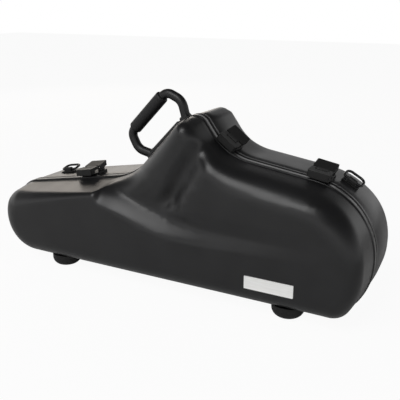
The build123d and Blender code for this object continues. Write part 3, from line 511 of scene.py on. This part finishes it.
def shell_rings(form, inset, rounds, front_rings, walls):
    """Rings of places from the rim band to the spine: wall, rounded edge, front."""
    radii = []
    owns = []
    for (point, normal), target in zip(spots, targets):
        radius, own = form.edge_at(point, normal)[:2]
        room = RADIUS_ROOM * (target - point).dot(normal) - form.wall_at(point, normal, WALL_READ) - inset
        radii.append(max(min(radius - inset, room), LEAST_RADIUS))
        owns.append(max(min(own - inset, room), LEAST_RADIUS))
    for _ in range(EVEN_PASSES):
        radii = evened(radii)
        owns = evened(owns)
    owns = [min(own, radius) for own, radius in zip(owns, radii)]
    rings = [[] for _ in range(len(walls) + rounds + 1 + front_rings)]
    for (point, normal), target, radius, own in zip(spots, targets, radii, owns):
        edge = point + normal * (inset + form.wall_at(point, normal, WALL_READ) + FRONT_READ)
        top = form.depth_at(edge.x, edge.y, 0.0, radius, own) - inset
        seat = inset + form.wall_at(point, normal, top)
        column = []
        for share in walls:
            deep = WALL_START + max(top - WALL_START, 0.0) * share
            spot = point + normal * (inset + form.wall_at(point, normal, deep))
            column.append((spot.x, deep, spot.y))
        for k in range(rounds + 1):
            away = radius * (1 - math.cos(math.pi / 2 * k / rounds))
            spot = point + normal * (seat + away)
            deep = form.depth_at(spot.x, spot.y, away, radius, own) - inset
            column.append((spot.x, max(deep, WALL_START), spot.y))
        start = point + normal * (seat + radius)
        for k in range(1, front_rings + 1):
            share = 1 - (1 - k / front_rings) ** RING_EASE
            spot = start.lerp(target, share * SPINE_SHARE)
            column.append((spot.x, form.depth_at(spot.x, spot.y) - inset, spot.y))
        for ring, place in zip(rings, column):
            ring.append(place)
    return [[(x * MM, (form.side * y + PARTING) * MM, z * MM) for x, y, z in ring] for ring in rings]


def stitched(bm, loop_verts, rings):
    """Extrudes an edge loop ring by ring and closes the last one."""
    verts = loop_verts
    for ring in rings:
        edges = [bm.edges.get((verts[i - 1], verts[i])) for i in range(len(verts))]
        made = bmesh.ops.extrude_edge_only(bm, edges=edges)["geom"]
        fresh = {item for item in made if isinstance(item, bmesh.types.BMVert)}
        moved = []
        for vert, place in zip(verts, ring):
            twin = next(edge.other_vert(vert) for edge in vert.link_edges if edge.other_vert(vert) in fresh)
            twin.co = place
            moved.append(twin)
        verts = moved
    edges = [bm.edges.get((verts[i - 1], verts[i])) for i in range(len(verts))]
    bmesh.ops.triangle_fill(bm, edges=edges, use_beauty=True, use_dissolve=False)


def object_from(bm, name, material, body, node):
    """Finished piece: smooth shaded, on its body, in the place of its CAD node."""
    for face in bm.faces:
        face.smooth = True
    mesh = bpy.data.meshes.new(name)
    bm.to_mesh(mesh)
    bm.free()
    mesh.materials.append(material)
    obj = bpy.data.objects.new(name, mesh)
    bpy.context.scene.collection.objects.link(obj)
    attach(obj, body)
    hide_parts(node)
    return obj


# The front that is evened lies this far from the walls, and its points this near to their own depth
FRONT_AWAY, FRONT_NEAR = 47.0, 1.5
FRONT_ROUNDS, FRONT_PASSES = 4, 5


def even_front(bm, form):
    """Spreads the points of the front away from the walls evenly and sets each to its own depth."""
    front = set()
    for vert in bm.verts:
        x, z = vert.co.x / MM, vert.co.z / MM
        deep = form.side * (vert.co.y / MM - PARTING)
        if deep > form.depth_at(x, z) - FRONT_NEAR and finder.find((x, z, 0.0))[2] > FRONT_AWAY:
            front.add(vert)

    def front_faces():
        return [face for face in bm.faces if all(vert in front for vert in face.verts)]

    bmesh.ops.triangulate(bm, faces=front_faces())
    inside = [vert for vert in bm.verts
              if vert in front and all(edge.other_vert(vert) in front for edge in vert.link_edges)]
    for _ in range(FRONT_ROUNDS):
        for _ in range(FRONT_PASSES):
            bmesh.ops.smooth_vert(bm, verts=inside, factor=0.5, use_axis_x=True, use_axis_z=True)
        faces = front_faces()
        borders = {edge for face in faces for edge in face.edges}
        edges = [edge for edge in bm.edges if edge in borders]
        bmesh.ops.beautify_fill(bm, faces=faces, edges=edges)
    for vert in inside:
        vert.co.y = (form.side * form.depth_at(vert.co.x / MM, vert.co.z / MM) + PARTING) * MM


# The lid's front is softened at the end where it is deeper than this: above each z, with so many passes
SOFT_DEEP = 30
SOFT_ZONES = [(108, 3), (185, 10)]
# Distance of each shell's lip from the parting line
LID_LIP, BASE_LIP = 0.5, 2.0


def moulded_shell(name, form, body, node, front_rings, walls):
    """One shell: rim band, outer skin and inner skin as one closed piece."""
    bm = bmesh.new()
    loop = bmesh.ops.create_circle(bm, cap_ends=False, segments=len(spots), radius=1.0)["verts"]
    first_loop = list(loop)
    foot = form.wall_at(spots[0][0], Vector((0.0, 1.0)), BAND_END)
    lip = LID_LIP if form.side == LID else BASE_LIP
    # The rim band's section: distance inside the outline, depth from the parting line
    band = [(1.2, lip), (-0.4, lip), (-0.6, lip + 0.2), (-0.6, 8.4), (-0.4, 9.4), (-0.1, 10.0),
            (foot, BAND_END)]

    def ring_at(inset, deep):
        return [((p.x + n.x * inset) * MM, (form.side * deep + PARTING) * MM, (p.y + n.y * inset) * MM)
                for p, n in spots]

    for vert, place in zip(first_loop, ring_at(*band[0])):
        vert.co = place
    outer = [ring_at(inset, deep) for inset, deep in band[1:]]
    outer += shell_rings(form, 0.0, OUTER_ROUNDS, front_rings, walls)
    stitched(bm, first_loop, outer)
    inner = [ring_at(SHELL_THICK + foot, lip + LIP_THICK)]
    inner += shell_rings(form, SHELL_THICK, INNER_ROUNDS, INNER_RINGS, walls[::2])
    stitched(bm, first_loop, inner)
    if form.side == LID:
        even_front(bm, form)
        deep_front = [vert for vert in bm.verts if vert.co.y < (PARTING - SOFT_DEEP) * MM]
        soft_parts = [([vert for vert in deep_front if vert.co.z > lowest * MM], passes)
                      for lowest, passes in SOFT_ZONES]
        for verts, passes in soft_parts:
            for _ in range(passes):
                bmesh.ops.smooth_vert(bm, verts=verts, factor=0.5,
                                      use_axis_x=True, use_axis_y=True, use_axis_z=True)
    bmesh.ops.recalc_face_normals(bm, faces=bm.faces)
    object_from(bm, name, abs_sheet, body, node)


# The numbers are the rings in each front, and the shares of the wall's depth at which its rings lie
moulded_shell("lid_moulded_shell", lid_form, "lid", "lid_shell",
              38, [0.02, 0.25, 0.5, 0.75])
moulded_shell("base_moulded_shell", base_form, "base", "base_shell",
              8, [0.02, 0.05, 0.1, 0.16, 0.24, 0.36, 0.55, 0.78])

# Pieces that keep their CAD form, with softened edges


def merged_copy(node):
    """Closed bmesh of a CAD piece, its doubled points merged."""
    bm = bmesh.new()
    bm.from_mesh(nodes[node].data)
    bmesh.ops.remove_doubles(bm, verts=bm.verts, dist=1e-6)
    return bm


def softened(node, name, material, body, width_mm):
    """Copy of a CAD piece with its flat faces joined and its edges rounded as moulding leaves them."""
    bm = merged_copy(node)
    bmesh.ops.dissolve_limit(bm, angle_limit=math.radians(1), verts=bm.verts, edges=bm.edges)
    obj = object_from(bm, name, material, body, node)
    rounds = obj.modifiers.new("moulded_edges", "BEVEL")
    rounds.width = width_mm * MM
    rounds.segments = 3
    rounds.limit_method = "ANGLE"
    rounds.angle_limit = math.radians(35)
    rounds.use_clamp_overlap = True
    obj.modifiers.new("even_shading", "WEIGHTED_NORMAL").keep_sharp = True


for side in ("left", "middle", "right"):
    # Each latch piece with its body and the width of its rounded edges
    for piece, body, width_mm in (
            ("bracket", "base", 0.9), ("lever", f"lever_{side}", 0.8),
            ("claw", f"claw_{side}", 0.5), ("strike", "lid", 0.5)):
        softened(f"latch_{side}_{piece}", f"latch_{side}_moulded_{piece}", latch_nylon,
                 body, width_mm)
for side in ("left", "right"):
    softened(f"ring_{side}_bracket", f"ring_{side}_moulded_bracket", latch_nylon, "base", 0.6)
softened("handle_base", "handle_moulded_base", handle_nylon, "base", 0.9)
softened("handle_grip", "handle_soft_grip", grip_skin, "handle", 3.0)

# Linings: plush stretched over foam, swollen a little between the shell and the parting line

# Size of the lining's first mesh, and its gap to the skin before and after it swells
VOXEL = 6.0
START_GAP, END_GAP = 7.0, 4.2
# Furthest that a point of the lining moves while it swells, and the length of the swelling in frames
SWELL_CAP, SWELL_FRAMES = 2.5, 20
# Least depth of a lining from the parting line
LINING_DEPTH = 1.3


def keep_inside(verts, form, gap):
    """Moves points that are too close to the moulded skin inwards, and off the parting line."""
    for vert in verts:
        x, z = vert.co.x / MM, vert.co.z / MM
        deep = form.side * (vert.co.y / MM - PARTING)
        point, normal = spots[finder.find((x, z, 0.0))[1]]
        radius, own = form.edge_at(point, normal)[:2]
        away = (Vector((x, z)) - point).dot(normal)
        need = form.wall_at(point, normal, max(min(deep, WALL_READ), WALL_START)) + gap
        if away < need:
            x += normal.x * (need - away)
            z += normal.y * (need - away)
            away = need
        limit = form.depth_at(x, z, max(away - need, 0.0), radius, own) - gap
        deep = max(min(deep, limit), LINING_DEPTH)
        vert.co = (x * MM, (form.side * deep + PARTING) * MM, z * MM)


def swollen_copy(block, rest):
    """Bmesh of a block after its cloth has swollen, no point further than the cap from its rest place."""
    swell = block.modifiers.new("swell", "CLOTH")
    swell.settings.use_pressure = True
    swell.settings.uniform_pressure_force = 4.0
    swell.settings.effector_weights.gravity = 0.0
    swell.settings.tension_stiffness = 20.0
    swell.settings.compression_stiffness = 20.0
    swell.settings.bending_stiffness = 5.0
    swell.collision_settings.use_self_collision = False
    for number in range(1, SWELL_FRAMES + 1):
        bpy.context.scene.frame_set(number)
    graph = bpy.context.evaluated_depsgraph_get()
    bm = bmesh.new()
    bm.from_mesh(bpy.data.meshes.new_from_object(block.evaluated_get(graph)))
    cap = SWELL_CAP * MM
    for vert, first in zip(bm.verts, rest):
        move = vert.co - first
        if move.length > cap:
            move = move.normalized() * cap
        vert.co = first + move
    bpy.context.scene.frame_set(1)
    return bm


def plush_lining(node, name, body, form):
    """Foam lining under plush: the CAD form remeshed, swollen by cloth simulation and held to its space."""
    bm = merged_copy(node)
    mesh = bpy.data.meshes.new(name + "_start")
    bm.to_mesh(mesh)
    bm.free()
    block = bpy.data.objects.new(name + "_start", mesh)
    bpy.context.scene.collection.objects.link(block)
    voxels = block.modifiers.new("voxels", "REMESH")
    voxels.mode = "VOXEL"
    voxels.voxel_size = VOXEL * MM
    graph = bpy.context.evaluated_depsgraph_get()
    start = bpy.data.meshes.new_from_object(block.evaluated_get(graph))
    block.modifiers.clear()
    block.data = start
    bm = bmesh.new()
    bm.from_mesh(start)
    bmesh.ops.smooth_vert(bm, verts=bm.verts, factor=0.5, use_axis_x=True, use_axis_y=True, use_axis_z=True)
    keep_inside(bm.verts, form, START_GAP)
    bm.to_mesh(start)
    rest = [vert.co.copy() for vert in bm.verts]
    bm.free()
    bm = swollen_copy(block, rest)
    keep_inside(bm.verts, form, END_GAP)
    bpy.data.objects.remove(block)
    lining = object_from(bm, name, liner_plush, body, node)
    finer = lining.modifiers.new("finer", "SUBSURF")
    finer.levels = 1
    finer.render_levels = 1


plush_lining("lid_liner", "lid_plush_lining", "lid", lid_form)
plush_lining("base_liner", "base_plush_lining", "base", base_form)

# Strap across the hollow: webbing with its ends folded under

# Thickness of the band, its height over the CAD strap's lowest face, its dip and the rise of its doubled ends
STRAP_THICK, STRAP_SEAT, STRAP_DIP, STRAP_FOLD = 0.8, 0.9, 0.6, 0.5
# Lengths from the end between which the doubled part stops
FOLD_ZONE = (15, 16)


def webbing_strap(name, node, body):
    """Band that dips a little between its ends, each end doubled."""
    low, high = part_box(node)
    bm = bmesh.new()
    bmesh.ops.create_grid(bm, x_segments=6, y_segments=48, size=0.5)
    width, length = high.x - low.x, high.z - low.z
    for vert in bm.verts:
        along = vert.co.y + 0.5
        end = min(along, 1 - along) * length / MM
        dip = STRAP_DIP * math.sin(math.pi * along)
        fold = STRAP_FOLD * (1 - smooth(*FOLD_ZONE, end))
        rise = (STRAP_SEAT + dip - fold) * MM
        vert.co = (low.x + width * (vert.co.x + 0.5), low.y + rise, low.z + length * along)
    bmesh.ops.recalc_face_normals(bm, faces=bm.faces)
    bmesh.ops.solidify(bm, geom=bm.faces[:], thickness=STRAP_THICK * MM)
    bmesh.ops.recalc_face_normals(bm, faces=bm.faces)
    object_from(bm, name, strap_webbing, body, node)


webbing_strap("instrument_webbing_strap", "instrument_strap", "base")

# Every CAD node gets the finish of its slot

slot_of = {part["node"]: part["material_slot"] for part in frame["record"]["subparts"]}
finish_of = {
    "shell": abs_sheet, "seal": seal_rubber, "plush": liner_plush, "webbing": strap_webbing,
    "foot_rubber": foot_rubber, "fastener_steel": black_steel, "hinge_steel": hinge_steel,
    "handle_plastic": handle_nylon, "grip": grip_skin, "pin_steel": turned_steel,
    "latch_black": latch_nylon, "ring_steel": ring_steel, "plate_metal": plate_aluminium,
}
for name, obj in nodes.items():
    obj.data.materials.clear()
    obj.data.materials.append(finish_of[slot_of[name]])

# Stage: floor, light, camera

FLOOR_HALF = 6.0
# Share of plain white in the floor that the camera sees; the rest keeps the shadow
FLOOR_WHITE = 0.94
# Heights of a direction, 17 and 25 degrees up, between which the room turns from bright to dark
BRIGHT_UNTIL, DARK_FROM = 0.29, 0.42
DARK_ROOM = 0.08
WHITE = (1, 1, 1, 1)

bm = bmesh.new()
bmesh.ops.create_grid(bm, x_segments=1, y_segments=1, size=FLOOR_HALF)
floor_mesh = bpy.data.meshes.new("studio_floor")
bm.to_mesh(floor_mesh)
bm.free()
floor = bpy.data.objects.new("studio_floor", floor_mesh)
bpy.context.scene.collection.objects.link(floor)
# Matt paper: a plain white ground with a soft shadow
floor_material = bpy.data.materials.new("matt_white_paper")
floor_material.use_nodes = True
tree = floor_material.node_tree
tree.nodes.clear()
paper = add_node(tree, "ShaderNodeBsdfPrincipled", {}, {"Base Color": linear("#f4f4f4"), "Roughness": 0.9})
white = add_node(tree, "ShaderNodeEmission", {}, {"Color": WHITE, "Strength": 1.0})
paths = add_node(tree, "ShaderNodeLightPath")
mixed = add_node(tree, "ShaderNodeMixShader", {}, {
    0: FLOOR_WHITE, 1: paper.outputs[0], 2: white.outputs[0]})
seen = add_node(tree, "ShaderNodeMixShader", {}, {
    0: paths.outputs["Is Camera Ray"], 1: paper.outputs[0], 2: mixed.outputs[0]})
add_node(tree, "ShaderNodeOutputMaterial", {}, {0: seen.outputs[0]})
floor_mesh.materials.append(floor_material)

world = bpy.data.worlds.new("studio")
bpy.context.scene.world = world
world.use_nodes = True
tree = world.node_tree
tree.nodes.clear()
direction = add_node(tree, "ShaderNodeTexCoord").outputs["Generated"]
height = add_node(tree, "ShaderNodeSeparateXYZ", {}, {0: direction}).outputs[2]
room = add_node(tree, "ShaderNodeMapRange", {}, {
    "Value": height, "From Min": BRIGHT_UNTIL, "From Max": DARK_FROM,
    "To Min": 1.0, "To Max": DARK_ROOM}).outputs[0]
room_light = add_node(tree, "ShaderNodeBackground", {}, {"Color": WHITE, "Strength": room})
backdrop = add_node(tree, "ShaderNodeBackground", {}, {"Color": WHITE, "Strength": 1.0})
paths = add_node(tree, "ShaderNodeLightPath")
choice = add_node(tree, "ShaderNodeMixShader", {}, {
    0: paths.outputs["Is Camera Ray"], 1: room_light.outputs[0], 2: backdrop.outputs[0]})
add_node(tree, "ShaderNodeOutputWorld", {}, {0: choice.outputs[0]})

# The camera that fits the photo: where it stands, the way back to it, and its focal length in pixels
CAMERA_PLACE = (0.45175, -0.8094, 0.4463)
AZIMUTH, ELEVATION = math.radians(27.0), math.radians(18.7)
SENSOR, FOCAL_PIXELS, PHOTO_PIXELS = 36.0, 590.0, 400.0

toward = Vector((
    math.sin(AZIMUTH) * math.cos(ELEVATION), -math.cos(AZIMUTH) * math.cos(ELEVATION), math.sin(ELEVATION)))
camera_data = bpy.data.cameras.new("camera")
camera_data.sensor_width = SENSOR
camera_data.lens = SENSOR * FOCAL_PIXELS / PHOTO_PIXELS
camera = bpy.data.objects.new("camera", camera_data)
facing = toward.to_track_quat("Z", "Y").to_matrix().to_4x4()
camera.matrix_world = Matrix.Translation(CAMERA_PLACE) @ facing
bpy.context.scene.collection.objects.link(camera)
bpy.context.scene.camera = camera


def soft_lamp(name, place, size, power, tint):
    """Large soft panel that faces the middle of the case."""
    lamp = bpy.data.lights.new(name, "AREA")
    lamp.shape = "RECTANGLE"
    lamp.size, lamp.size_y = size
    lamp.energy = power
    lamp.color = linear(tint)[:3]
    obj = bpy.data.objects.new(name, lamp)
    facing = (Vector(place) - Vector((0, 0, 0.15))).to_track_quat("Z", "Y").to_matrix().to_4x4()
    obj.matrix_world = Matrix.Translation(place) @ facing
    bpy.context.scene.collection.objects.link(obj)


soft_lamp("rear_panel", (-1.6, 1.7, 0.75), (1.6, 0.7), 6.0, "#fff2e2")
soft_lamp("front_panel", (-0.3, -1.75, 1.95), (1.6, 1.4), 35.0, "#ffffff")

bpy.context.scene.view_settings.view_transform = "Standard"
